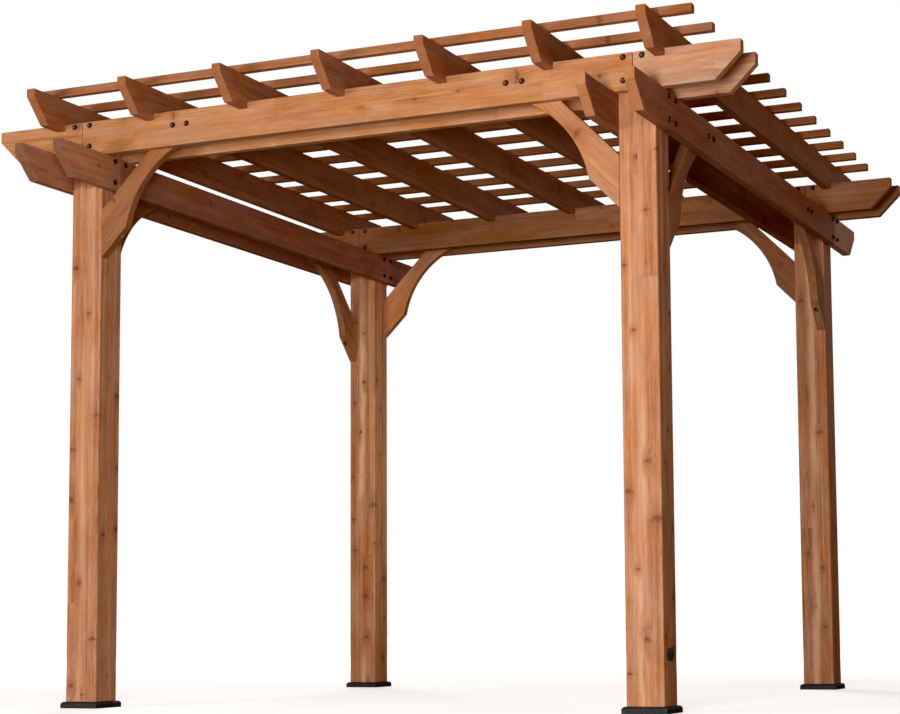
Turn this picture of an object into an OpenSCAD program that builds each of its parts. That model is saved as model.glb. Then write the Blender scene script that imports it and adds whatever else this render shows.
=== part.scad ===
// Free-standing timber pergola.
// Four posts on plates carry doubled beams on all four sides. The side beams sit lower, the
// front and back beams lie across them, and rafters and slats make the open roof.
// The origin is on the ground at the middle of the plan, with X along the front and Y to the back.

/* [Plan] */
// Distance between the post centres, left to right
span_x = 2334; // [1800:1:3600]
// Distance between the post centres, front to back
span_y = 2334; // [1800:1:3600]
// Height of the line where the front and back beams lie on the side beams
beam_line = 2182; // [1900:1:2600]

/* [Posts] */
// Width of a square post
post_w = 140; // [100:1:180]
// Rounding of the post's long edges
post_round = 7; // [2:0.5:12]
// Width of the square plate under a post
plate_w = 168; // [150:1:220]
// Thickness of the plate
plate_h = 25; // [15:0.5:40]
// Bevel round the top of the plate
plate_bevel = 7; // [2:0.5:12]

/* [Boards] */
// Thickness of the beam boards
board_t = 38; // [28:0.5:50]
// Rounding of the long edges of boards, rafters and slats
edge_round = 4; // [1:0.5:6]
// Width of the butt joint in a beam, over the middle of a post
joint_w = 2; // [0.5:0.5:6]

/* [Front and back beams] */
// Height of a front or back beam board
front_h = 137; // [110:1:180]
// Length of a beam end, from the post's centre to its tip
front_reach = 397; // [300:1:600]
// Upright part of the tip, above the bevel
front_tip = 43; // [20:1:70]
// Length of the bevel along the underside
front_bevel = 96; // [40:1:150]

/* [Side beams] */
// Height of a side beam board
side_h = 132; // [110:1:180]
// Length of a beam end, from the post's centre to its tip
side_reach = 389; // [300:1:600]
// Upright part of the tip, above the bevel
side_tip = 41; // [20:1:70]
// Length of the bevel along the underside
side_bevel = 94; // [40:1:150]

/* [Braces] */
// Thickness of a knee brace
brace_t = 38; // [28:0.5:50]
// Width of the board that a brace is cut from
brace_w = 136; // [110:1:160]
// Width left at the middle of the curved cut
brace_waist = 63; // [45:1:90]
// Distance from the corner, down the post and along the beam, at which the brace's straight edge meets them
brace_reach = 217; // [150:1:320]
// Radius of the curved cut
brace_curve_r = 415; // [300:5:700]
// Distance of the curve's middle up the brace from the line through the corner
brace_curve_mid = 110; // [60:1:160]
// Distance of the brace's level top end below the top of its beam
brace_drop = 12; // [4:1:40]

/* [Rafters] */
// Thickness of a rafter
rafter_t = 38; // [28:0.5:50]
// Height of a rafter
rafter_h = 129; // [110:1:180]
// Length from the post's centre line to the rafter's tip
rafter_reach = 306; // [220:1:500]
// Upright part of the tip, above the bevel
rafter_tip = 31; // [15:1:60]
// Length of the bevel along the underside
rafter_bevel = 91; // [40:1:110]
// Depth of the notches that fit over the beam boards
rafter_notch = 29; // [15:1:40]
// Room on each side of a board in its notch
notch_room = 1; // [0:0.25:3]
// Room between an outer rafter and the outer face of the posts
rafter_room = 13; // [3:1:60]

/* [Slats] */
// Width of a slat, front to back
slat_w = 35; // [25:0.5:50]
// Height of a slat
slat_h = 32; // [20:0.5:50]
// Length of a slat past the post's centre line
slat_reach = 232; // [170:1:400]
// Distance of the slats' middle to the right of the middle of the plan
slat_slide = 6; // [0:1:40]
// Distance from a rafter's tip to the middle of the nearest slat
slat_inset = 164; // [60:1:220]

/* [Hidden] */
$fn = 48;
// How far cutting shapes run past what they cut
overrun = 5;
cedar = [0.80, 0.53, 0.37];
cedar_light = [0.84, 0.58, 0.40];
cedar_dark = [0.60, 0.35, 0.23];
plate_black = [0.12, 0.12, 0.13];

// Heights of the tiers
side_z = beam_line - side_h;
front_top = beam_line + front_h;
rafter_z = front_top - rafter_notch;
slat_z = rafter_z + rafter_h;

// Places of the posts and of the boards on their faces
post_x = span_x / 2;
post_y = span_y / 2;
face = post_w / 2;
board_off = face + board_t / 2;

// Rafters and slats in fixed numbers, spread evenly over their rows
rafter_n = 7;
slat_groups = 6;
slats_in_group = 2;
slat_n = slat_groups * slats_in_group;
rafter_len = span_y + 2 * rafter_reach;
rafter_row = span_x + post_w + 2 * rafter_room + rafter_t;
rafter_pitch = rafter_row / (rafter_n - 1);
slat_len = span_x + 2 * slat_reach;
slat_row = rafter_len - 2 * slat_inset;
slat_pitch = slat_row / (slat_n - 1);

// Section of a timber with rounded corners, standing on the line y = 0
module section(w, h, r) {
    translate([r - w / 2, 0]) square([w - 2 * r, h]);
    translate([-w / 2, r]) square([w, h - 2 * r]);
    for (x = [r - w / 2, w / 2 - r], y = [r, h - r])
        translate([x, y]) circle(r);
}

// Timber lying along X from x = 0, with its middle on y = 0
module timber(len, w, h) {
    rotate([90, 0, 90]) linear_extrude(len) section(w, h, edge_round);
}

// Shape drawn in side view, X along and Y up, and carried through a timber of width w
module through(w) {
    rotate([90, 0, 0]) linear_extrude(w + 2 * overrun, center = true) children();
}

// Part sawn off the underside at a tip at x = reach
module tip_cut(reach, h, tip, bevel) {
    polygon([
        [reach - bevel, 0],
        [reach, h - tip],
        [reach + overrun, h - tip],
        [reach + overrun, -overrun],
        [reach - bevel, -overrun]
    ]);
}

// Beam end, from the butt joint over the post to its bevelled tip
module beam_end(reach, h, tip, bevel) {
    difference() {
        translate([joint_w / 2, 0, 0]) timber(reach - joint_w / 2, board_t, h);
        through(board_t) tip_cut(reach, h, tip, bevel);
    }
}

// Board of a beam between the butt joints over two posts
module beam_board(span, h) {
    translate([(joint_w - span) / 2, 0, 0]) timber(span - joint_w, board_t, h);
}

// Turns what lies along X so that it lies along Y
module along_y() {
    rotate([0, 0, 90]) children();
}

// Square post, from its plate to the top of the front and back beams
module post(sx, sy) {
    color(cedar_light)
        translate([sx * post_x, sy * post_y - face, plate_h])
            linear_extrude(front_top - plate_h) section(post_w, post_w, post_round);
}

// Plate under a post, with a bevel round its top
module plate(sx, sy) {
    half = plate_w / 2;
    color(plate_black) translate([sx * post_x, sy * post_y, 0])
        intersection_for(turn = [0, 90])
            rotate([90, 0, turn]) linear_extrude(plate_w, center = true)
                polygon([
                    [-half, 0],
                    [half, 0],
                    [half, plate_h - plate_bevel],
                    [half - plate_bevel, plate_h],
                    [plate_bevel - half, plate_h],
                    [-half, plate_h - plate_bevel]
                ]);
}

// Front (sy = -1) or back (sy = 1) beam board on the outer (side = 1) or inner (side = -1) post face
module cross_board(sy, side) {
    color(cedar)
        translate([0, sy * (post_y + side * board_off), beam_line]) beam_board(span_x, front_h);
}

// The two end pieces of a front or back beam past the left (sx = -1) or right (sx = 1) post
module cross_ends(sx, sy) {
    color(cedar)
        for (side = [-1, 1])
            translate([sx * post_x, sy * (post_y + side * board_off), beam_line])
                mirror([sx < 0 ? 1 : 0, 0, 0]) beam_end(front_reach, front_h, front_tip, front_bevel);
}

// Left or right beam board on the outer or inner post face
module side_board(sx, side) {
    color(cedar)
        translate([sx * (post_x + side * board_off), 0, side_z]) along_y() beam_board(span_y, side_h);
}

// The two end pieces of a side beam past the front (sy = -1) or back (sy = 1) post
module side_ends(sx, sy) {
    color(cedar)
        for (side = [-1, 1])
            translate([sx * (post_x + side * board_off), sy * post_y, side_z])
                mirror([0, sy < 0 ? 1 : 0, 0])
                    along_y() beam_end(side_reach, side_h, side_tip, side_bevel);
}

// Side view of a brace. The post's face is x = 0 and the underside of the beam is y = 0.
// A board set at 45 degrees is sawn off upright at the post and level inside the beam,
// and a round cut takes out its lower edge but for a straight piece at each end.
module brace_outline(beam_h) {
    top = beam_h - brace_drop;
    near = brace_reach / sqrt(2);
    far = near + brace_w;
    reach = far * sqrt(2);
    intersection() {
        translate([0, -reach]) square([reach + top, reach + top]);
        rotate(45) difference() {
            translate([-far - overrun, -far]) square([2 * (far + overrun) + top * sqrt(2), brace_w]);
            translate([brace_curve_mid, -near - brace_waist - brace_curve_r])
                circle(brace_curve_r, $fn = 180);
        }
    }
}

// Brace in the XZ plane, from y = 0 to y = brace_t, rising towards +X
module brace(beam_h) {
    translate([0, brace_t, 0]) rotate([90, 0, 0]) linear_extrude(brace_t) brace_outline(beam_h);
}

// Brace of a front or back beam, against the inside of its outer board
module cross_brace(sx, sy) {
    color(cedar_light)
        translate([sx * (post_x - face), sy * (post_y + face), beam_line])
            mirror([sx > 0 ? 1 : 0, 0, 0])
                mirror([0, sy > 0 ? 1 : 0, 0]) brace(front_h);
}

// Brace of a side beam, against the inside of its outer board
module side_brace(sx, sy) {
    color(cedar_light)
        translate([sx * (post_x + face), sy * (post_y - face), side_z])
            mirror([sx < 0 ? 1 : 0, 0, 0])
                mirror([0, sy > 0 ? 1 : 0, 0])
                    along_y() brace(side_h);
}

// Rafter number i from the left, with bevelled tips and a notch over each board of the two beams
module rafter(i) {
    half = rafter_len / 2;
    notch_w = board_t + 2 * notch_room;
    color(cedar_dark)
        translate([i * rafter_pitch - rafter_row / 2, 0, rafter_z]) along_y() difference() {
            translate([-half, 0, 0]) timber(rafter_len, rafter_t, rafter_h);
            for (end = [0, 1])
                mirror([end, 0, 0]) through(rafter_t) {
                    tip_cut(half, rafter_h, rafter_tip, rafter_bevel);
                    for (side = [-1, 1])
                        translate([post_y + side * board_off - notch_w / 2, -overrun])
                            square([notch_w, rafter_notch + overrun]);
                }
        }
}

// Neighbouring slats, group number g from the front
module slats(g) {
    color(cedar)
        for (k = [0 : slats_in_group - 1])
            translate([slat_slide - slat_len / 2, (g * slats_in_group + k) * slat_pitch - slat_row / 2, slat_z])
                timber(slat_len, slat_w, slat_h);
}

post(-1, -1);  // post_front_left
post(1, -1);  // post_front_right
post(-1, 1);  // post_back_left
post(1, 1);  // post_back_right
plate(-1, -1);  // plate_front_left
plate(1, -1);  // plate_front_right
plate(-1, 1);  // plate_back_left
plate(1, 1);  // plate_back_right
cross_board(-1, 1);  // front_beam_outer
cross_board(-1, -1);  // front_beam_inner
cross_board(1, -1);  // back_beam_inner
cross_board(1, 1);  // back_beam_outer
cross_ends(-1, -1);  // front_beam_left_ends
cross_ends(1, -1);  // front_beam_right_ends
cross_ends(-1, 1);  // back_beam_left_ends
cross_ends(1, 1);  // back_beam_right_ends
side_board(-1, 1);  // left_beam_outer
side_board(-1, -1);  // left_beam_inner
side_board(1, -1);  // right_beam_inner
side_board(1, 1);  // right_beam_outer
side_ends(-1, -1);  // left_beam_front_ends
side_ends(-1, 1);  // left_beam_back_ends
side_ends(1, -1);  // right_beam_front_ends
side_ends(1, 1);  // right_beam_back_ends
cross_brace(-1, -1);  // front_brace_left
cross_brace(1, -1);  // front_brace_right
cross_brace(-1, 1);  // back_brace_left
cross_brace(1, 1);  // back_brace_right
side_brace(-1, -1);  // left_brace_front
side_brace(-1, 1);  // left_brace_back
side_brace(1, -1);  // right_brace_front
side_brace(1, 1);  // right_brace_back
rafter(0);  // rafter_1
rafter(1);  // rafter_2
rafter(2);  // rafter_3
rafter(3);  // rafter_4
rafter(4);  // rafter_5
rafter(5);  // rafter_6
rafter(6);  // rafter_7
slats(0);  // slats_1
slats(1);  // slats_2
slats(2);  // slats_3
slats(3);  // slats_4
slats(4);  // slats_5
slats(5);  // slats_6
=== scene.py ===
"""Looks of a free-standing timber pergola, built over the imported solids. Lengths are in metres."""
import math
import random

import bpy
from mathutils import Matrix, Vector


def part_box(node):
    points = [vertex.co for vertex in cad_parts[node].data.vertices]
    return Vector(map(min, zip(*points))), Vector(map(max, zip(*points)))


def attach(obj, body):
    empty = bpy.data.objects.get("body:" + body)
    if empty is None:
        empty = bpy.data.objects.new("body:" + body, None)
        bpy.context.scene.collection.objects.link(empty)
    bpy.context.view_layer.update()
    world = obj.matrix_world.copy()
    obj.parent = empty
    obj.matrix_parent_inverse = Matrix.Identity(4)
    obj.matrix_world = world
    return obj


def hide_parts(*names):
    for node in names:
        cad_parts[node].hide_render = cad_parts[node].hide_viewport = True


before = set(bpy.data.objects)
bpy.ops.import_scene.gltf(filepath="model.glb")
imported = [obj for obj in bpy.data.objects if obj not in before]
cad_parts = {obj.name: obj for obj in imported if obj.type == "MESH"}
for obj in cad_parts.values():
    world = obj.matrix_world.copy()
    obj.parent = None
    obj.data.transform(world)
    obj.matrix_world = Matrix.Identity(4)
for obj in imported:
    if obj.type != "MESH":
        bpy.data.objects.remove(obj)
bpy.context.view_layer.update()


# Base plates: a square plate under each post, moulded in matt black plastic with a bevelled rim.
# The post stands on its plate and is screwed to it from below, so no fixing shows.
plate_easing = 0.0015
plate_edge = 0.002
plate_colour = (0.020, 0.018, 0.020, 1)
plate_worn_colour = (0.050, 0.049, 0.053, 1)
weld_gap = 1e-5
flat_angle = math.radians(1)
sharp_angle = math.radians(40)
round_angle = math.radians(35)
corners = [(end, side) for end in ("front", "back") for side in ("left", "right")]


def pick(*pieces):
    """Makes these objects the whole selection, the first of them active."""
    bpy.ops.object.select_all(action="DESELECT")
    for piece in pieces:
        piece.select_set(True)
    bpy.context.view_layer.objects.active = pieces[0]


def round_over(easing, segments=2, sharpness=sharp_angle):
    """Rounds over the sharp edges of the piece in edit mode."""
    bpy.ops.mesh.select_mode(type="EDGE")
    bpy.ops.mesh.select_all(action="DESELECT")
    bpy.ops.mesh.edges_select_sharp(sharpness=sharpness)
    bpy.ops.mesh.bevel(offset=easing, segments=segments, affect="EDGES")


def eased_copy(node, name, easing):
    """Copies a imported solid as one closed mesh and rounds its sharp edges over."""
    piece = bpy.data.objects.new(name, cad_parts[node].data.copy())
    bpy.context.scene.collection.objects.link(piece)
    piece.data.materials.clear()
    pick(piece)
    bpy.ops.mesh.customdata_custom_splitnormals_clear()
    bpy.ops.object.mode_set(mode="EDIT")
    bpy.ops.mesh.select_mode(type="EDGE")
    bpy.ops.mesh.select_all(action="SELECT")
    bpy.ops.mesh.remove_doubles(threshold=weld_gap)
    bpy.ops.mesh.dissolve_limited(angle_limit=flat_angle)
    round_over(easing)
    bpy.ops.object.mode_set(mode="OBJECT")
    return piece


def smooth_edges(piece):
    """Shades the rounded edges as round and keeps the sawn faces flat."""
    pick(piece)
    bpy.ops.object.shade_smooth_by_angle(angle=round_angle)
    bpy.ops.object.modifier_add(type="WEIGHTED_NORMAL")
    piece.modifiers[-1].keep_sharp = True
    bpy.ops.object.modifier_apply(modifier=piece.modifiers[-1].name)


def mark_edges(piece, width):
    """Stores which faces are the rounded edges, for the wear along them: those narrower than this.
    The width of a narrow strip is twice its area over its girth."""
    piece.data.attributes.new("edge", "FLOAT", "FACE")
    marks = piece.data.attributes["edge"].data
    points = piece.data.vertices
    for face in piece.data.polygons:
        rim = [points[index].co for index in face.vertices]
        girth = sum((corner - rim[turn - 1]).length for turn, corner in enumerate(rim))
        marks[face.index].value = 1.0 if 2 * face.area / girth < width else 0.0


def add_node(tree, kind, inputs, **settings):
    """Adds a shader node and gives its outputs. Inputs are values, or output sockets to link."""
    made = tree.nodes.new(kind)
    for key, value in settings.items():
        setattr(made, key, value)
    for key, value in inputs.items():
        if isinstance(value, bpy.types.NodeSocket):
            tree.links.new(value, made.inputs[key])
        else:
            made.inputs[key].default_value = value
    return made.outputs


def math_node(tree, operation, first, second=0.0, third=0.0):
    return add_node(tree, "ShaderNodeMath", {0: first, 1: second, 2: third}, operation=operation)[0]


def times(tree, value, by):
    return math_node(tree, "MULTIPLY", value, by)


def vector_node(tree, operation, first, second=(0, 0, 0), third=(0, 0, 0)):
    return add_node(tree, "ShaderNodeVectorMath", {0: first, 1: second, 2: third}, operation=operation)


def noise(tree, place, waves, detail=2.0, roughness=0.5):
    """Noise over stretched places, with this many waves in a metre along each of the three axes."""
    stretched = vector_node(tree, "MULTIPLY", place, waves)["Vector"]
    return add_node(tree, "ShaderNodeTexNoise", {
        "Vector": stretched, "Scale": 1.0, "Detail": detail, "Roughness": roughness})


def ease(tree, value, start, end):
    """0 at start, 1 at end, with a smooth change between."""
    return add_node(tree, "ShaderNodeMapRange", {"Value": value, "From Min": start, "From Max": end},
                    interpolation_type="SMOOTHSTEP")["Result"]


def mix_colour(tree, share, first, second):
    return add_node(tree, "ShaderNodeMix", {0: share, 6: first, 7: second}, data_type="RGBA")[2]


def read(tree, attribute):
    """Reads what is stored on the mesh under this name."""
    return add_node(tree, "ShaderNodeAttribute", {}, attribute_name=attribute)


def edge_wear(tree, pattern):
    """How far the finish is rubbed off: only on the edges, and there only where the pattern is high."""
    rub_start = 0.35
    rub_full = 0.65
    return times(tree, read(tree, "edge")["Fac"], ease(tree, pattern, rub_start, rub_full))


def add_bump(tree, shader, height, strength, depth):
    """Raises and sinks a surface by a pattern."""
    bump = add_node(tree, "ShaderNodeBump", {"Strength": strength, "Distance": depth, "Height": height})
    tree.links.new(bump[0], shader.inputs["Normal"])


def new_surface(name, specular):
    """A material with its shader, and the tree to build in."""
    material = bpy.data.materials.new(name)
    material.use_nodes = True
    tree = material.node_tree
    shader = tree.nodes["Principled BSDF"]
    shader.inputs["Specular IOR Level"].default_value = specular
    return material, tree, shader


def moulded_plastic(name):
    """Matt black plastic with a fine moulded texture, a little pale scuffing, and more along the edges."""
    pit_waves = (900, 900, 900)
    pit_depth = 0.0004
    scuff_waves = (45, 45, 90)
    scuff_start = 0.5
    scuff_full = 0.75
    smooth_at = -0.9
    rough_at = 1.6
    material, tree, shader = new_surface(name, specular=0.35)
    place = add_node(tree, "ShaderNodeTexCoord", {})["Object"]
    pits = noise(tree, place, pit_waves)["Fac"]
    scuffs = noise(tree, place, scuff_waves, detail=4, roughness=0.65)["Fac"]
    colour = mix_colour(tree, ease(tree, scuffs, scuff_start, scuff_full), plate_colour, plate_worn_colour)
    colour = mix_colour(tree, edge_wear(tree, scuffs), colour, plate_worn_colour)
    tree.links.new(colour, shader.inputs["Base Color"])
    tree.links.new(ease(tree, scuffs, smooth_at, rough_at), shader.inputs["Roughness"])
    add_bump(tree, shader, pits, strength=0.3, depth=pit_depth)
    return material


black_plastic = moulded_plastic("black_plastic")
for end, side in corners:
    plate = eased_copy(f"plate_{end}_{side}", f"black_plate_{end}_{side}", plate_easing)
    smooth_edges(plate)
    mark_edges(plate, plate_edge)
    plate.data.materials.append(black_plastic)
    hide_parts(f"plate_{end}_{side}")
    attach(plate, "root")


# Posts: four square cedar posts with rounded arrises, planed and stained a warm orange brown, the back
# ones with a pale streak of sapwood. Each is glued up from strips, stands on its plate, and runs up
# between the boards of both beams that it carries.
post_easing = 0.003
post_heart = 0.012
post_seed = 100
grain_up = Vector((0, 0, 1))
grain_cross = Vector((1, 0, 0))
grain_back = Vector((0, 1, 0))


def run_grain(board, along, through, heart_gap, glued_through, seed):
    """Stores on a board's points where they lie in the tree: along the grain, then across it from the
    heart. Also stores where they lie in the glued-up board, the board's own number, how squarely the
    faces at the tips cut the grain, and which faces are the rounded edges that follow it."""
    trunk_length = 40
    heart_spread = (0.7, 1.4)
    heart_aside = 0.025
    most_lean = 0.015
    board_numbers = 1000
    edge_width = 0.007
    tip_reach = 1.3
    end_squareness = 0.1
    draw = random.Random(seed)
    heart = Vector((draw.uniform(0, trunk_length),
                    draw.choice((-1, 1)) * heart_gap * draw.uniform(*heart_spread),
                    draw.uniform(-heart_aside, heart_aside)))
    lean = draw.uniform(-most_lean, most_lean)
    board_number = draw.randrange(board_numbers)
    across = along.cross(through)
    points = [vertex.co.copy() for vertex in board.data.vertices]
    middle = sum(points, Vector()) / len(points)
    stored = board.data.attributes
    stored.new("grain", "FLOAT_VECTOR", "POINT")
    stored.new("glued", "FLOAT_VECTOR", "POINT")
    stored.new("board_number", "FLOAT", "POINT")
    stored.new("end_cut", "FLOAT", "FACE")
    mark_edges(board, edge_width)
    for index, point in enumerate(points):
        place = point - middle
        run = place.dot(along)
        tree_place = Vector((run, place.dot(through) + lean * run, place.dot(across)))
        stored["grain"].data[index].vector = heart + tree_place
        stored["glued"].data[index].vector = (run, place.dot(across), place.dot(through) * glued_through)
        stored["board_number"].data[index].value = board_number
    for face in board.data.polygons:
        squareness = face.normal.dot(along) ** 2
        at_tip = abs(face.center.dot(along)) > tip_reach
        stored["end_cut"].data[face.index].value = squareness if at_tip else 0.0
        if squareness > end_squareness:
            stored["edge"].data[face.index].value = 0.0


def minus(tree, value, by):
    return math_node(tree, "SUBTRACT", value, by)


def times_plus(tree, value, by, more):
    return math_node(tree, "MULTIPLY_ADD", value, by, more)


def between(tree, draw, low, high):
    """A draw from 0 to 1, taken to the range from low to high."""
    return times_plus(tree, draw, high - low, low)


def split(tree, place):
    return add_node(tree, "ShaderNodeSeparateXYZ", {0: place})


def vector(tree, x, y, z):
    return add_node(tree, "ShaderNodeCombineXYZ", {0: x, 1: y, 2: z})[0]


def length(tree, place):
    return vector_node(tree, "LENGTH", place)["Value"]


def draws(tree, cell):
    """Three random numbers for each cell."""
    colour = add_node(tree, "ShaderNodeTexWhiteNoise", {"Vector": cell})["Color"]
    return add_node(tree, "ShaderNodeSeparateColor", {"Color": colour})


def glued_strips(tree, strip_length):
    """The strips that a board is glued up from, side by side, and finger-jointed end to end.
    Gives the place in the board, the board's number, each strip's draws, and the lines at the joints."""
    row_offset = 0.43
    board_offset = 0.37
    joint_range = (0.2, 0.8)
    line_start = 0.0016
    line_full = 0.0004
    glued = split(tree, read(tree, "glued")["Vector"])
    board = math_node(tree, "ROUND", read(tree, "board_number")["Fac"])
    beside = math_node(tree, "GREATER_THAN", glued[1], 0.0)
    behind = math_node(tree, "GREATER_THAN", glued[2], 0.0)
    row = times_plus(tree, behind, 2.0, beside)
    offset = times_plus(tree, row, row_offset, times(tree, board, board_offset))
    run = times_plus(tree, glued[0], 1 / strip_length, offset)
    stretch = math_node(tree, "FLOOR", run)
    joint_draw = draws(tree, vector(tree, stretch, row, board))[0]
    joint = between(tree, joint_draw, *joint_range)
    past_joint = minus(tree, minus(tree, run, stretch), joint)
    strip = math_node(tree, "ADD", stretch, math_node(tree, "GREATER_THAN", past_joint, 0.0))
    strip_draws = draws(tree, vector(tree, strip, board, row))
    off_joint = math_node(tree, "ABSOLUTE", times(tree, past_joint, strip_length))
    return glued, board, strip_draws, ease(tree, off_joint, line_start, line_full)


def branch_knots(tree, place, from_heart, strip_draws, share):
    """Knots of the branches, which leave the heart in whorls, at a share of the places round each whorl.
    Gives each knot's radius, its dark core, the halo where the rings bend round it, and the arched lines
    that spread from it across the grain."""
    whorl_step = 0.21
    places_round = 6
    whorl_spin = 10.0
    whorl_range = (0.25, 0.75)
    strip_range = (0.5, 1.5)
    aside_range = (0.3, 0.7)
    along_scatter = 0.03
    bend_range = (2.0, 28.0)
    radius_range = (0.0055, 0.0155)
    ragged_waves = (70, 110, 110)
    ragged_range = (0.1, 1.9)
    core_along = 1.1
    core_aside = 0.7
    core_rim = 1.5
    core_middle = 0.2
    core_range = (0.6, 0.95)
    halo_along = 0.4
    halo_rim = 3.2
    halo_middle = 0.3
    arch_rim = 0.006
    arch_middle = 0.001
    arch_end = 0.030
    arch_start = 0.006
    arch_share = 0.7
    parts = split(tree, place)
    run = math_node(tree, "DIVIDE", parts[0], whorl_step)
    whorl = math_node(tree, "FLOOR", run)
    whorl_draws = draws(tree, vector(tree, whorl, 0.5, 0.5))
    turn = math_node(tree, "ARCTAN2", parts[2], parts[1])
    turn = times_plus(tree, turn, places_round / math.tau, times(tree, whorl_draws[0], whorl_spin))
    sector = math_node(tree, "FLOOR", turn)
    branch = vector(tree, whorl, math_node(tree, "FLOORED_MODULO", sector, places_round), 1.5)
    drawn = draws(tree, branch)
    chance = add_node(tree, "ShaderNodeTexWhiteNoise", {"Vector": branch})["Value"]
    strip_share = times(tree, between(tree, strip_draws[1], *strip_range), share)
    there = math_node(tree, "LESS_THAN", chance, strip_share)

    aside = minus(tree, minus(tree, turn, sector), between(tree, drawn[1], *aside_range))
    aside = times(tree, times(tree, aside, math.tau / places_round), from_heart)
    along = minus(tree, minus(tree, run, whorl), between(tree, whorl_draws[1], *whorl_range))
    scatter = times(tree, minus(tree, drawn[0], 0.5), along_scatter)
    along = times_plus(tree, along, whorl_step, scatter)
    bend = between(tree, drawn[2], *bend_range)
    along = times_plus(tree, times(tree, aside, aside), bend, along)

    knot_r = between(tree, math_node(tree, "POWER", drawn[2], 1.5), *radius_range)
    ragged = between(tree, noise(tree, place, ragged_waves)["Fac"], *ragged_range)
    oval = length(tree, vector(tree, times(tree, along, core_along), times(tree, aside, core_aside), 0.0))
    from_knot = times(tree, math_node(tree, "DIVIDE", oval, knot_r), ragged)
    darkness = times(tree, there, between(tree, drawn[0], *core_range))
    core = times(tree, ease(tree, from_knot, core_rim, core_middle), darkness)
    swirl = length(tree, vector(tree, times(tree, along, halo_along), aside, 0.0))
    swirl = math_node(tree, "DIVIDE", swirl, knot_r)
    halo = times(tree, ease(tree, swirl, halo_rim, halo_middle), there)
    off_arch = times(tree, math_node(tree, "ABSOLUTE", along), ragged)
    out_along_arch = math_node(tree, "ABSOLUTE", aside)
    arch = times(tree, ease(tree, off_arch, arch_rim, arch_middle),
                 ease(tree, out_along_arch, arch_end, arch_start))
    arch = times(tree, times(tree, arch, there), times(tree, drawn[1], arch_share))
    return knot_r, core, halo, arch


def sapwood_streak(tree, glued, board, flecks):
    """A streak along the middle of a post's face, which wanders, frays, and fades in and out."""
    drift_waves = (1.6, 1, 1)
    fade_waves = (1.3, 1, 1)
    drift_reach = 0.08
    fray_reach = 0.04
    streak_rim = 0.024
    streak_middle = 0.004
    fade_start = 0.35
    fade_full = 0.6
    drift = noise(tree, vector(tree, glued[0], times(tree, board, 7.3), 0.0), drift_waves)["Fac"]
    fade = noise(tree, vector(tree, glued[0], times(tree, board, 3.1), 5.0), fade_waves)["Fac"]
    off_streak = times_plus(tree, minus(tree, drift, 0.5), drift_reach, glued[1])
    off_streak = math_node(tree, "ABSOLUTE", off_streak)
    off_streak = times_plus(tree, minus(tree, flecks, 0.5), fray_reach, off_streak)
    streak = ease(tree, off_streak, streak_rim, streak_middle)
    return times(tree, streak, ease(tree, fade, fade_start, fade_full))


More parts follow.
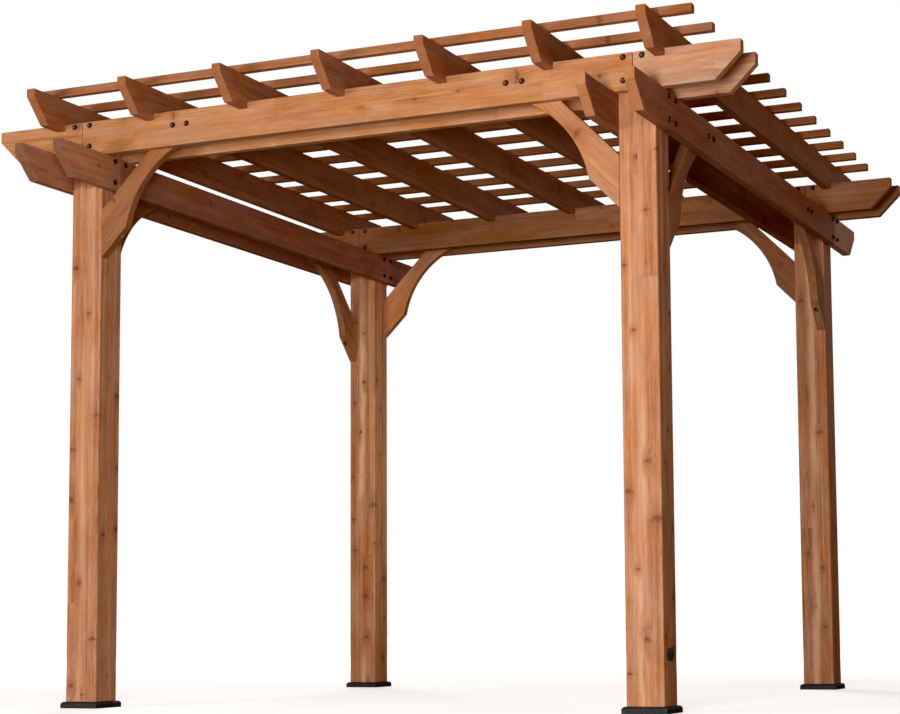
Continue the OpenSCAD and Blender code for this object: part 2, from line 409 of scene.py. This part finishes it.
def cedar(name, pale, middle, deep, cut_end, strip_length, streaks, knots, sapwood=0.0):
    """Stained cedar, glued up from strips that each have their own grain: growth rings round the heart,
    fibres, flecks and streaks, and knots that push the rings aside. Some has a paler streak of sapwood."""
    knot_stain = (0.36, 0.12, 0.045, 1)
    knot_heart = (0.155, 0.052, 0.019, 1)
    sap_colour = (0.88, 0.52, 0.30, 1)
    strip_start_spread = 30.0
    sway_waves = (0.9, 6, 6)
    sway_reach = (0, 0.02, 0.02)
    across_grain = (0, 1, 1)
    rings_per_metre = 190
    fibre_waves = (5, 420, 420)
    fleck_waves = (14, 110, 110)
    band_waves = (0.5, 46, 46)
    cloud_waves = (4.0, 16, 16)
    ring_push = 0.9
    ring_share = 0.45
    fleck_share = 0.45
    cloud_share = 0.6
    fibre_share = 0.25
    deep_to_middle = (0.18, 0.55)
    middle_to_pale = (0.48, 0.85)
    end_squareness = (0.1, 0.6)
    end_share = 0.65
    stain_share = 0.55
    joint_share = 0.22
    wear_share = 0.4
    value_range = (0.965, 1.035)
    hue_range = (0.492, 0.508)
    saturation_range = (1.24, 0.74)
    roughness_range = (0.45, 0.70)
    grain_depth = 0.0009
    material, tree, shader = new_surface(name, specular=0.22)
    glued, board, strip_draws, joint_line = glued_strips(tree, strip_length)

    strip_start = vector(tree, times(tree, strip_draws[0], strip_start_spread), 0.0, 0.0)
    place = vector_node(tree, "ADD", read(tree, "grain")["Vector"], strip_start)["Vector"]
    sway = vector_node(tree, "SUBTRACT", noise(tree, place, sway_waves)["Color"], (0.5, 0.5, 0.5))["Vector"]
    swayed = vector_node(tree, "MULTIPLY_ADD", sway, sway_reach, place)["Vector"]
    from_heart = length(tree, vector_node(tree, "MULTIPLY", place, across_grain)["Vector"])
    radius = length(tree, vector_node(tree, "MULTIPLY", swayed, across_grain)["Vector"])
    knot_r, core, halo, arch = branch_knots(tree, place, from_heart, strip_draws, knots)
    radius = times_plus(tree, times(tree, halo, knot_r), ring_push, radius)

    rings = add_node(tree, "ShaderNodeTexNoise", {
        "W": times(tree, radius, rings_per_metre), "Scale": 1.0, "Detail": 3.0, "Roughness": 0.6},
        noise_dimensions="1D")["Fac"]
    fibres = noise(tree, swayed, fibre_waves, detail=3, roughness=0.6)["Fac"]
    flecks = noise(tree, swayed, fleck_waves, detail=3, roughness=0.6)["Fac"]
    bands = noise(tree, swayed, band_waves)["Fac"]
    clouds = noise(tree, place, cloud_waves, detail=3, roughness=0.6)
    tone = 0.5
    for pattern, share in ((rings, ring_share), (bands, streaks), (flecks, fleck_share),
                           (clouds["Fac"], cloud_share), (fibres, fibre_share)):
        tone = times_plus(tree, minus(tree, pattern, 0.5), share, tone)

    cut = ease(tree, read(tree, "end_cut")["Fac"], *end_squareness)
    colour = mix_colour(tree, ease(tree, tone, *deep_to_middle), deep, middle)
    colour = mix_colour(tree, ease(tree, tone, *middle_to_pale), colour, pale)
    colour = mix_colour(tree, times(tree, cut, end_share), colour, cut_end)
    if sapwood:
        streak = sapwood_streak(tree, glued, board, flecks)
        colour = mix_colour(tree, times(tree, streak, sapwood), colour, sap_colour)
    colour = mix_colour(tree, times(tree, halo, stain_share), colour, knot_stain)
    colour = mix_colour(tree, arch, colour, knot_stain)
    colour = mix_colour(tree, core, colour, knot_heart)
    colour = mix_colour(tree, times(tree, joint_line, joint_share), colour, knot_heart)
    colour = mix_colour(tree, times(tree, edge_wear(tree, flecks), wear_share), colour, pale)
    cloud_draws = add_node(tree, "ShaderNodeSeparateColor", {"Color": clouds["Color"]})
    toned = add_node(tree, "ShaderNodeHueSaturation", {
        "Color": colour,
        "Value": between(tree, strip_draws[2], *value_range),
        "Hue": between(tree, cloud_draws[1], *hue_range),
        "Saturation": between(tree, cloud_draws[2], *saturation_range)})
    tree.links.new(toned[0], shader.inputs["Base Color"])
    tree.links.new(between(tree, fibres, *roughness_range), shader.inputs["Roughness"])
    height = times_plus(tree, flecks, 0.5, times(tree, fibres, 0.6))
    height = times_plus(tree, rings, 0.4, height)
    height = times_plus(tree, joint_line, -0.4, height)
    add_bump(tree, shader, height, strength=0.35, depth=grain_depth)
    return material


def split_boards(piece):
    """The separate boards of a piece, in a fixed order."""
    pick(piece)
    bpy.ops.object.mode_set(mode="EDIT")
    bpy.ops.mesh.select_all(action="SELECT")
    bpy.ops.mesh.separate(type="LOOSE")
    bpy.ops.object.mode_set(mode="OBJECT")
    return sorted(bpy.context.selected_objects, key=lambda board: board.name)


def cedar_piece(node, along, through, heart_gap, finish, easing, seed, drilled=None, glued_through=0):
    """Dresses a packed timber node as cedar, each board in it with its own run of grain."""
    piece = eased_copy(node, f"cedar_{node}", easing)
    if drilled:
        drill(piece, node, drilled)
    boards = split_boards(piece)
    for number, board in enumerate(boards):
        run_grain(board, along, through, heart_gap, glued_through, seed * 10 + number)
    pick(piece, *[board for board in boards if board is not piece])
    if len(boards) > 1:
        bpy.ops.object.join()
    smooth_edges(piece)
    piece.data.materials.append(finish)
    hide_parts(node)
    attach(piece, "root")


post_cedar = cedar(
    "post_cedar", pale=(0.76, 0.40, 0.21, 1), middle=(0.60, 0.255, 0.12, 1),
    deep=(0.40, 0.14, 0.055, 1), cut_end=(0.50, 0.20, 0.08, 1),
    strip_length=4.2, streaks=0.8, knots=0.68, sapwood=0.25)
streaked_cedar = cedar(
    "streaked_cedar", pale=(0.74, 0.37, 0.18, 1), middle=(0.58, 0.235, 0.102, 1),
    deep=(0.38, 0.127, 0.046, 1), cut_end=(0.50, 0.20, 0.08, 1),
    strip_length=4.2, streaks=0.8, knots=0.5, sapwood=0.8)
post_finishes = {"front": post_cedar, "back": streaked_cedar}
for number, (end, side) in enumerate(corners):
    cedar_piece(f"post_{end}_{side}", grain_up, grain_back, post_heart, post_finishes[end],
                post_easing, post_seed + number, glued_through=1)


# Side beams: a pair of cedar boards on the left and right faces of the posts, a tier below the front beams.
# Each board is a main length and an end piece at each post, butted at the post's middle and bolted to it.
board_easing = 0.0025
board_heart = 0.075
side_beam_seed = 200
dark_cedar = cedar(
    "dark_cedar", pale=(0.52, 0.213, 0.105, 1), middle=(0.40, 0.134, 0.063, 1),
    deep=(0.28, 0.082, 0.035, 1), cut_end=(0.62, 0.25, 0.09, 1),
    strip_length=1.9, streaks=0.4, knots=0.25)
# A lighter, more golden finish for the left beam's front end pieces: partly their own tone, partly painted
# light that these tips catch.
tip_cedar = cedar(
    "tip_cedar", pale=(0.62, 0.29, 0.155, 1), middle=(0.50, 0.21, 0.112, 1),
    deep=(0.35, 0.13, 0.062, 1), cut_end=(0.12, 0.045, 0.016, 1),
    strip_length=1.9, streaks=0.4, knots=0.25)
# A pale pink finish for the right beam's back end pieces: a painted sheen.
tail_cedar = cedar(
    "tail_cedar", pale=(0.82, 0.51, 0.38, 1), middle=(0.72, 0.41, 0.29, 1),
    deep=(0.56, 0.28, 0.18, 1), cut_end=(0.50, 0.22, 0.10, 1),
    strip_length=3.0, streaks=0.4, knots=0.25)
# The left beam's front ends take the lighter finish, partly painted light, and the right beam's back ends
# the pale one, a painted sheen.
side_end_finishes = {"left_beam_front_ends": tip_cedar, "right_beam_back_ends": tail_cedar}
side_beams = [f"{side}_beam_{part}" for side in ("left", "right")
              for part in ("outer", "inner", "front_ends", "back_ends")]
for number, node in enumerate(side_beams):
    cedar_piece(node, grain_back, grain_cross, board_heart,
                side_end_finishes.get(node, dark_cedar), board_easing, side_beam_seed + number)


# Front and back beams: the same make, lying across the side beams.
# The front boards are of the palest cedar, pinker at the right end. The back ones are of a duller, darker
# brown, which paints in the shade that falls on them.
light_cedar = cedar(
    "light_cedar", pale=(0.75, 0.40, 0.205, 1), middle=(0.62, 0.265, 0.108, 1),
    deep=(0.45, 0.165, 0.06, 1), cut_end=(0.50, 0.20, 0.075, 1),
    strip_length=0.9, streaks=0.3, knots=0.25)
pink_cedar = cedar(
    "pink_cedar", pale=(0.80, 0.49, 0.325, 1), middle=(0.67, 0.33, 0.185, 1),
    deep=(0.50, 0.215, 0.108, 1), cut_end=(0.50, 0.22, 0.10, 1),
    strip_length=3.0, streaks=0.3, knots=0.5)
# A duller, darker copy of the cedar: painted shade, for the back beam and for the braces that lie in shade.
brown_cedar = cedar(
    "brown_cedar", pale=(0.50, 0.225, 0.09, 1), middle=(0.38, 0.15, 0.057, 1),
    deep=(0.25, 0.088, 0.032, 1), cut_end=(0.44, 0.17, 0.06, 1),
    strip_length=1.9, streaks=0.5, knots=0.4)
cross_beam_seeds = {"front": 300, "back": 310}
cross_finishes = {"front": light_cedar, "back": brown_cedar}
cross_end_finishes = {"front_beam_right_ends": pink_cedar}
for end, first_seed in cross_beam_seeds.items():
    for number, part in enumerate(("outer", "inner", "left_ends", "right_ends")):
        node = f"{end}_beam_{part}"
        cedar_piece(node, grain_cross, grain_back, board_heart,
                    cross_end_finishes.get(node, cross_finishes[end]), board_easing, first_seed + number)


# Knee braces: cedar boards set at 45 degrees with a round cut below, one at each post for each beam.
# The head is bolted to the inside of the outer board, and the foot is screwed to the post through a
# deep round hole in its sloping underside.
brace_easing = 0.0035
brace_seed = 400
hole_rise = 0.085
hole_r = 0.010
hole_depth = 0.030
hole_overrun = 0.03
hole_sides = 32
brace_cedar = cedar(
    "brace_cedar", pale=(0.71, 0.35, 0.16, 1), middle=(0.58, 0.235, 0.09, 1),
    deep=(0.42, 0.15, 0.05, 1), cut_end=(0.46, 0.18, 0.065, 1),
    strip_length=3.0, streaks=0.3, knots=0.25)


def hole_mouth(node, inward):
    """The middle of the screw hole's mouth, on the slope that rises from the brace's foot."""
    low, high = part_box(node)
    mouth = (low + high) / 2
    axis = 0 if inward.x else 1
    mouth[axis] = (low[axis] if inward[axis] > 0 else high[axis]) + hole_rise * inward[axis]
    mouth.z = low.z + hole_rise
    return mouth


def discard(piece):
    pick(piece)
    bpy.ops.object.delete()


def cut_away(piece, bit):
    """Cuts a bit's shape out of a piece and deletes the bit."""
    pick(piece)
    cut = piece.modifiers.new("cut", "BOOLEAN")
    cut.object = bit
    cut.solver = "EXACT"
    bpy.ops.object.modifier_apply(modifier=cut.name)
    discard(bit)


def drill(piece, node, inward):
    """Bores the screw hole level through the slope, towards the post."""
    middle = hole_mouth(node, inward) + inward * (hole_overrun - hole_depth) / 2
    bpy.ops.mesh.primitive_cylinder_add(vertices=hole_sides, radius=hole_r, depth=hole_depth + hole_overrun,
                                        location=middle, rotation=inward.to_track_quat("Z", "Y").to_euler())
    cut_away(piece, bpy.context.active_object)


braces = []
for end, side in corners:
    braces.append((f"{end}_brace_{side}", Vector((1 if side == "left" else -1, 0, 0))))
    braces.append((f"{side}_brace_{end}", Vector((0, 1 if end == "front" else -1, 0))))
# Most braces take the darker brown or the dark finish in place of the brace cedar: painted shade, where
# shade falls on them.
brace_shade_finishes = {node: brown_cedar for node in (
    "front_brace_left", "left_brace_back", "right_brace_front", "right_brace_back", "back_brace_right")}
brace_shade_finishes["left_brace_front"] = dark_cedar
for number, (node, inward) in enumerate(braces):
    rise = (inward + grain_up).normalized()
    cedar_piece(node, rise, inward.cross(grain_up), board_heart,
                brace_shade_finishes.get(node, brace_cedar), brace_easing, brace_seed + number, drilled=inward)


# Rafters: cedar boards from front to back with bevelled tips, notched over the boards of the beams.
# They are screwed down through the notches, so no fixing shows.
rafter_count = 7
rafter_seed = 500
rafter_cedar = cedar(
    "rafter_cedar", pale=(0.53, 0.222, 0.10, 1), middle=(0.405, 0.147, 0.062, 1),
    deep=(0.26, 0.083, 0.033, 1), cut_end=(0.42, 0.155, 0.055, 1),
    strip_length=2.2, streaks=0.4, knots=0.3)
for number in range(1, rafter_count + 1):
    cedar_piece(f"rafter_{number}", grain_back, grain_cross, board_heart, rafter_cedar,
                board_easing, rafter_seed + number)


# Slats: thin cedar battens from left to right, lying on the rafters' tops to make the open roof.
# Each is screwed down to the rafters that it crosses.
slat_easing = 0.002
slat_pairs = 6
slat_seed = 600
slat_cedar = cedar(
    "slat_cedar", pale=(0.58, 0.25, 0.105, 1), middle=(0.45, 0.165, 0.062, 1),
    deep=(0.31, 0.10, 0.034, 1), cut_end=(0.44, 0.165, 0.06, 1),
    strip_length=2.6, streaks=0.4, knots=0.3)
for number in range(1, slat_pairs + 1):
    cedar_piece(f"slats_{number}", grain_cross, grain_up, board_heart, slat_cedar,
                slat_easing, slat_seed + number)


# Bolts: black flange-head bolts through boards and posts, four at each crossing and two at each brace's
# head. Each shows a hexagon head on a thin round flange, with a lighter brown dome on top that is a painted
# highlight. One is modelled and copied.
flange_r = 0.0112
flange_t = 0.0028
flange_easing = 0.3 * flange_t
flange_sides = 32
head_r = 0.0080
head_t = 0.0062
head_easing = 0.1 * head_t
dome_r = 0.72 * head_r
dome_t = 0.0026
bolt_edge = 0.0005
bolt_colour = (0.014, 0.0085, 0.007, 1)
bolt_worn_colour = (0.045, 0.030, 0.024, 1)
# The dome's lighter brown is a painted highlight on the middle of each head.
dome_highlight_colour = (0.13, 0.072, 0.055, 1)
dome_highlight_worn_colour = (0.20, 0.125, 0.10, 1)
bolt_column = 0.0355
cross_rows = (0.0364, 0.1206)
side_rows = (0.0292, 0.1146)
cross_brace_bolts = ((0.425, 0.080), (0.488, 0.080))
side_brace_bolts = ((0.420, 0.074), (0.481, 0.074))


def painted_metal(name, colour, worn_colour, roughness):
    """Metal under a thin gritty coat that is uneven in gloss, mottled, and rubbed along the edges."""
    mottle_waves = (160, 160, 160)
    grit_waves = (1400, 1400, 1400)
    grit_depth = 0.0002
    patch_start = 0.45
    patch_full = 0.8
    patch_share = 0.5
    gloss_spread = 0.25
    gloss_drop = 0.12
    material, tree, shader = new_surface(name, specular=0.25)
    place = add_node(tree, "ShaderNodeTexCoord", {})["Object"]
    mottle = noise(tree, place, mottle_waves, detail=3)["Fac"]
    grit = noise(tree, place, grit_waves)["Fac"]
    patches = times(tree, ease(tree, mottle, patch_start, patch_full), patch_share)
    base = mix_colour(tree, patches, colour, worn_colour)
    base = mix_colour(tree, edge_wear(tree, mottle), base, worn_colour)
    tree.links.new(base, shader.inputs["Base Color"])
    gloss = times_plus(tree, mottle, gloss_spread, roughness - gloss_drop)
    tree.links.new(gloss, shader.inputs["Roughness"])
    add_bump(tree, shader, grit, strength=0.3, depth=grit_depth)
    return material


def place_copies(model, name, places):
    """Copies a model to each place, a point and the way that its top faces, and joins the copies."""
    copies = []
    draw = random.Random(name)
    for number, (point, way) in enumerate(places):
        copy = bpy.data.objects.new(f"{name}.{number}", model.data.copy())
        bpy.context.scene.collection.objects.link(copy)
        spin = Matrix.Rotation(draw.uniform(0, math.tau), 4, "Z")
        aim = way.to_track_quat("Z", "Y").to_matrix().to_4x4()
        copy.matrix_world = Matrix.Translation(point) @ aim @ spin
        copies.append(copy)
    pick(*copies)
    bpy.ops.object.transform_apply(location=True, rotation=True, scale=True)
    bpy.ops.object.join()
    copies[0].name = name
    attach(copies[0], "root")


def bolt_places(beam, rows, brace_bolts):
    """Where a beam's bolts stand, and the way each faces: out of both boards at the posts, and out of
    the outer board over the braces."""
    run, face = (0, 1) if beam in ("front", "back") else (1, 0)
    outward = Vector((0, 0, 0))
    outward[face] = -1 if beam in ("front", "left") else 1
    places = []
    for board, way in ((f"{beam}_beam_outer", outward), (f"{beam}_beam_inner", -outward)):
        low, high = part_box(board)
        point = Vector((0, 0, 0))
        point[face] = high[face] if way[face] > 0 else low[face]
        for post in corners:
            if beam not in post:
                continue
            post_low, post_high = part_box("post_{}_{}".format(*post))
            post_middle = ((post_low + post_high) / 2)[run]
            for column in (-bolt_column, bolt_column):
                for row in rows:
                    point[run] = post_middle + column
                    point.z = low.z + row
                    places.append((point.copy(), way))
            if way == outward:
                for reach, rise in brace_bolts:
                    point[run] = post_middle - math.copysign(reach, post_middle)
                    point.z = low.z + rise
                    places.append((point.copy(), way))
    return places


bpy.ops.mesh.primitive_cylinder_add(vertices=flange_sides, radius=flange_r, depth=flange_t,
                                    location=(0, 0, flange_t / 2))
bolt = bpy.context.active_object
black_metal = painted_metal("black_metal", bolt_colour, bolt_worn_colour, roughness=0.42)
bolt.data.materials.append(black_metal)
# The second material, on the dome, paints the highlight in its colour.
bolt.data.materials.append(painted_metal("browned_metal", dome_highlight_colour, dome_highlight_worn_colour, roughness=0.40))
pick(bolt)
bpy.ops.object.transform_apply(location=True, rotation=True, scale=True)
bpy.ops.object.mode_set(mode="EDIT")
round_over(flange_easing)
bpy.ops.mesh.primitive_cylinder_add(vertices=6, radius=head_r, depth=head_t,
                                    location=(0, 0, flange_t + head_t / 2))
bpy.ops.mesh.bevel(offset=head_easing, segments=2, affect="EDGES")
bpy.ops.mesh.primitive_uv_sphere_add(segments=24, ring_count=8, radius=1,
                                     location=(0, 0, flange_t + head_t))
bpy.ops.transform.resize(value=(dome_r, dome_r, dome_t), center_override=(0, 0, flange_t + head_t))
bolt.active_material_index = 1
bpy.ops.object.material_slot_assign()
bpy.ops.object.mode_set(mode="OBJECT")
bpy.ops.object.shade_smooth_by_angle(angle=round_angle)
mark_edges(bolt, bolt_edge)
for beam in ("front", "back"):
    place_copies(bolt, f"{beam}_beam_bolts", bolt_places(beam, cross_rows, cross_brace_bolts))
for beam in ("left", "right"):
    place_copies(bolt, f"{beam}_beam_bolts", bolt_places(beam, side_rows, side_brace_bolts))
discard(bolt)


# Brace screws: black round-head screws at the bottom of the holes in the braces' feet.
# Each head is rounded over at the rim, with a square drive recess.
screw_r = 0.0056
screw_t = 0.0036
screw_easing = 0.45 * screw_r
screw_sides = 24
recess_share = 0.5


def cut_recess(screw, radius, depth, height):
    """Sinks a square drive recess in a screw's head, with its middle at this height."""
    bpy.ops.mesh.primitive_cylinder_add(vertices=4, radius=radius, depth=depth, location=(0, 0, height))
    cut_away(screw, bpy.context.active_object)


bpy.ops.mesh.primitive_cylinder_add(vertices=screw_sides, radius=screw_r, depth=2 * screw_t)
brace_screw = bpy.context.active_object
bpy.ops.object.mode_set(mode="EDIT")
round_over(screw_easing, segments=4)
bpy.ops.object.mode_set(mode="OBJECT")
cut_recess(brace_screw, recess_share * screw_r, screw_t, screw_t)
pick(brace_screw)
bpy.ops.object.shade_smooth_by_angle(angle=round_angle)
mark_edges(brace_screw, bolt_edge)
brace_screw.data.materials.append(black_metal)
place_copies(brace_screw, "brace_screws", [
    (hole_mouth(node, inward) - inward * hole_depth, inward) for node, inward in braces])
discard(brace_screw)


# Slat screws: small black countersunk screws down through the slats' tops, one at each rafter.
# Their conical heads are driven almost level with the wood, and have a square drive recess.
slat_screw_r = 0.0042
slat_screw_shank_r = 0.45 * slat_screw_r
slat_screw_t = 0.0030
slat_screw_proud = 0.0004
slat_screw_sides = 20
slat_width = 0.035
bpy.ops.mesh.primitive_cone_add(vertices=slat_screw_sides, radius1=slat_screw_shank_r, radius2=slat_screw_r,
                                depth=slat_screw_t, location=(0, 0, slat_screw_proud - slat_screw_t / 2))
slat_screw = bpy.context.active_object
cut_recess(slat_screw, recess_share * slat_screw_r, slat_screw_t, slat_screw_proud)
pick(slat_screw)
bpy.ops.object.transform_apply(location=True, rotation=True, scale=True)
bpy.ops.object.shade_smooth_by_angle(angle=round_angle)
mark_edges(slat_screw, bolt_edge)
slat_screw.data.materials.append(black_metal)
slat_screw_places = []
for pair in range(1, slat_pairs + 1):
    low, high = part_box(f"slats_{pair}")
    for rafter in range(1, rafter_count + 1):
        rafter_low, rafter_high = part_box(f"rafter_{rafter}")
        rafter_middle = (rafter_low.x + rafter_high.x) / 2
        for slat_middle in (low.y + slat_width / 2, high.y - slat_width / 2):
            slat_screw_places.append((Vector((rafter_middle, slat_middle, high.z)), grain_up))
place_copies(slat_screw, "slat_screws", slat_screw_places)
discard(slat_screw)


# Plaque: a small plain oval of dark metal with a raised black rim, fixed low on the outer side of the
# front right post. It is pressed from one sheet, its face a little sunk, and it carries no mark.
plaque_width = 0.084
plaque_height = 0.050
plaque_t = 0.003
plaque_rim = 0.005
plaque_sink = 0.0014
plaque_easing = 0.0006
plaque_edge = 0.0008
plaque_sides = 64
plaque_sharp_angle = math.radians(30)
plaque_facing = 0.9
plaque_colour = (0.050, 0.062, 0.056, 1)
plaque_worn_colour = (0.090, 0.100, 0.088, 1)
plaque_rise = 0.203
plaque_forward = 0.004
low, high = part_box("post_front_right")
plaque_middle = (high.x + plaque_t / 2, (low.y + high.y) / 2 - plaque_forward, plaque_rise)
bpy.ops.mesh.primitive_cylinder_add(vertices=plaque_sides, radius=plaque_height / 2, depth=plaque_t,
                                    rotation=(0, math.pi / 2, 0), location=plaque_middle)
plaque = bpy.context.active_object
plaque.name = "plain_plaque"
plaque.data.materials.append(black_metal)
plaque.data.materials.append(painted_metal("dark_metal", plaque_colour, plaque_worn_colour, roughness=0.4))
pick(plaque)
bpy.ops.object.transform_apply(location=True, rotation=True, scale=True)
for face in plaque.data.polygons:
    face.select = face.normal.x > plaque_facing
bpy.ops.object.mode_set(mode="EDIT")
bpy.ops.mesh.select_mode(type="FACE")
bpy.ops.mesh.inset(thickness=plaque_rim)
bpy.ops.mesh.inset(thickness=plaque_sink, depth=-plaque_sink)
plaque.active_material_index = 1
bpy.ops.object.material_slot_assign()
bpy.ops.mesh.select_all(action="SELECT")
bpy.ops.transform.resize(value=(1, plaque_width / plaque_height, 1), center_override=plaque_middle)
round_over(plaque_easing, sharpness=plaque_sharp_angle)
bpy.ops.object.mode_set(mode="OBJECT")
bpy.ops.object.shade_smooth_by_angle(angle=round_angle)
mark_edges(plaque, plaque_edge)
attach(plaque, "root")


# Studio: a plain pale floor that fades into a white surround, and wide soft lights low in front.
# A warmer light stands far off at the right, and a small narrow one reaches the back left post. One at
# the rear right puts a sheen on the right faces, and one high behind lights the back and the top.
floor_half = 30.0
floor_bounce = (0.12, 0.085, 0.06, 1)
floor_seen = (0.8, 0.8, 0.8, 1)
near_glow = 0.65
far_glow = 1.0
glow_start = 2.0
glow_full = 7.0
ambient_colour = (0.086, 0.043, 0.022, 1)
bpy.ops.mesh.primitive_plane_add(size=2 * floor_half)
floor = bpy.context.active_object
floor.name = "floor"
floor_paint, floor_tree, floor_shader = new_surface("floor_paint", specular=0.0)
floor_shader.inputs["Roughness"].default_value = 0.9
floor_shader.inputs["Emission Color"].default_value = (1, 1, 1, 1)
away = length(floor_tree, add_node(floor_tree, "ShaderNodeTexCoord", {})["Object"])
seen = add_node(floor_tree, "ShaderNodeLightPath", {})["Is Camera Ray"]
paint = mix_colour(floor_tree, seen, floor_bounce, floor_seen)
floor_tree.links.new(paint, floor_shader.inputs["Base Color"])
glow = between(floor_tree, ease(floor_tree, away, glow_start, glow_full), near_glow, far_glow)
floor_tree.links.new(times(floor_tree, glow, seen), floor_shader.inputs["Emission Strength"])
floor.data.materials.append(floor_paint)

surround = bpy.data.worlds.new("surround")
bpy.context.scene.world = surround
surround.use_nodes = True
sky_tree = surround.node_tree
sky_tree.nodes.clear()
ambient = add_node(sky_tree, "ShaderNodeBackground", {"Color": ambient_colour, "Strength": 1.0})
white = add_node(sky_tree, "ShaderNodeBackground", {"Color": (1, 1, 1, 1), "Strength": 1.0})
seen = add_node(sky_tree, "ShaderNodeLightPath", {})["Is Camera Ray"]
both = add_node(sky_tree, "ShaderNodeMixShader", {0: seen, 1: ambient[0], 2: white[0]})
add_node(sky_tree, "ShaderNodeOutputWorld", {"Surface": both[0]})


def soft_light(name, place, target, width, height, watts, colour, spread=180):
    """A rectangular light at a place, turned to its target, that the camera doesn't see."""
    bpy.ops.object.light_add(type="AREA", location=place)
    lamp = bpy.context.active_object
    lamp.name = name
    lamp.data.shape = "RECTANGLE"
    lamp.data.size = width
    lamp.data.size_y = height
    lamp.data.energy = watts
    lamp.data.color = colour
    lamp.data.spread = math.radians(spread)
    lamp.visible_camera = False
    lamp.rotation_euler = (Vector(target) - Vector(place)).to_track_quat("-Z", "Y").to_euler()


soft_light("front_left_light", place=(-3.0, -6.0, 1.2), target=(0, -1.2, 1.5), width=1.8, height=1.4,
           watts=124, colour=(1, 0.98, 0.95))
soft_light("front_right_light", place=(1.7, -5.4, 1.2), target=(0, -1.2, 1.5), width=1.2, height=1.2,
           watts=140, colour=(1, 1, 1))
soft_light("right_light", place=(9.0, -2.0, 2.2), target=(0, 0, 1.4), width=3.0, height=1.2,
           watts=80, colour=(1, 0.78, 0.56))
soft_light("inner_light", place=(4.0, -1.0, 0.9), target=(-1.1, 1.17, 1.05), width=0.5, height=0.5,
           watts=1.7, colour=(0.85, 0.93, 1), spread=24)
soft_light("rear_right_light", place=(3.6, 9.8, 3.2), target=(0.5, 0, 1.7), width=2.4, height=3.0,
           watts=17, colour=(0.93, 0.97, 1))
soft_light("back_light", place=(-5.0, 7.5, 6.0), target=(0, 0, 1.6), width=4.0, height=4.0,
           watts=420, colour=(1, 0.96, 0.91))


# Camera: low in front and to the right of the middle, looking slightly up, as the photograph was taken.
# Its lens, shift, place and turns come from a fit of the timber's corners to their places in the frame.
photo_width = 900
photo_height = 714
focal_pixels = 1939.0
centre_pixel = (540, 430)
camera_place = (3.4331, -7.5683, 0.3230)
camera_turn = 0.3962
camera_tilt = 0.0980
camera_roll = -0.0094
black_point = (0.005, 0.005, 0.005)
bpy.ops.object.camera_add(location=camera_place)
camera = bpy.context.active_object
facing = Matrix.Rotation(camera_turn, 4, "Z") @ Matrix.Rotation(math.pi / 2 + camera_tilt, 4, "X")
camera.rotation_euler = (facing @ Matrix.Rotation(camera_roll, 4, "Z")).to_euler()
camera.data.sensor_width = 36
camera.data.lens = camera.data.sensor_width * focal_pixels / photo_width
camera.data.shift_x = (photo_width / 2 - centre_pixel[0]) / photo_width
camera.data.shift_y = (centre_pixel[1] - photo_height / 2) / photo_width
bpy.context.scene.camera = camera
bpy.context.scene.view_settings.view_transform = "Standard"
bpy.context.scene.view_settings.use_curve_mapping = True
bpy.context.scene.view_settings.curve_mapping.black_level = black_point
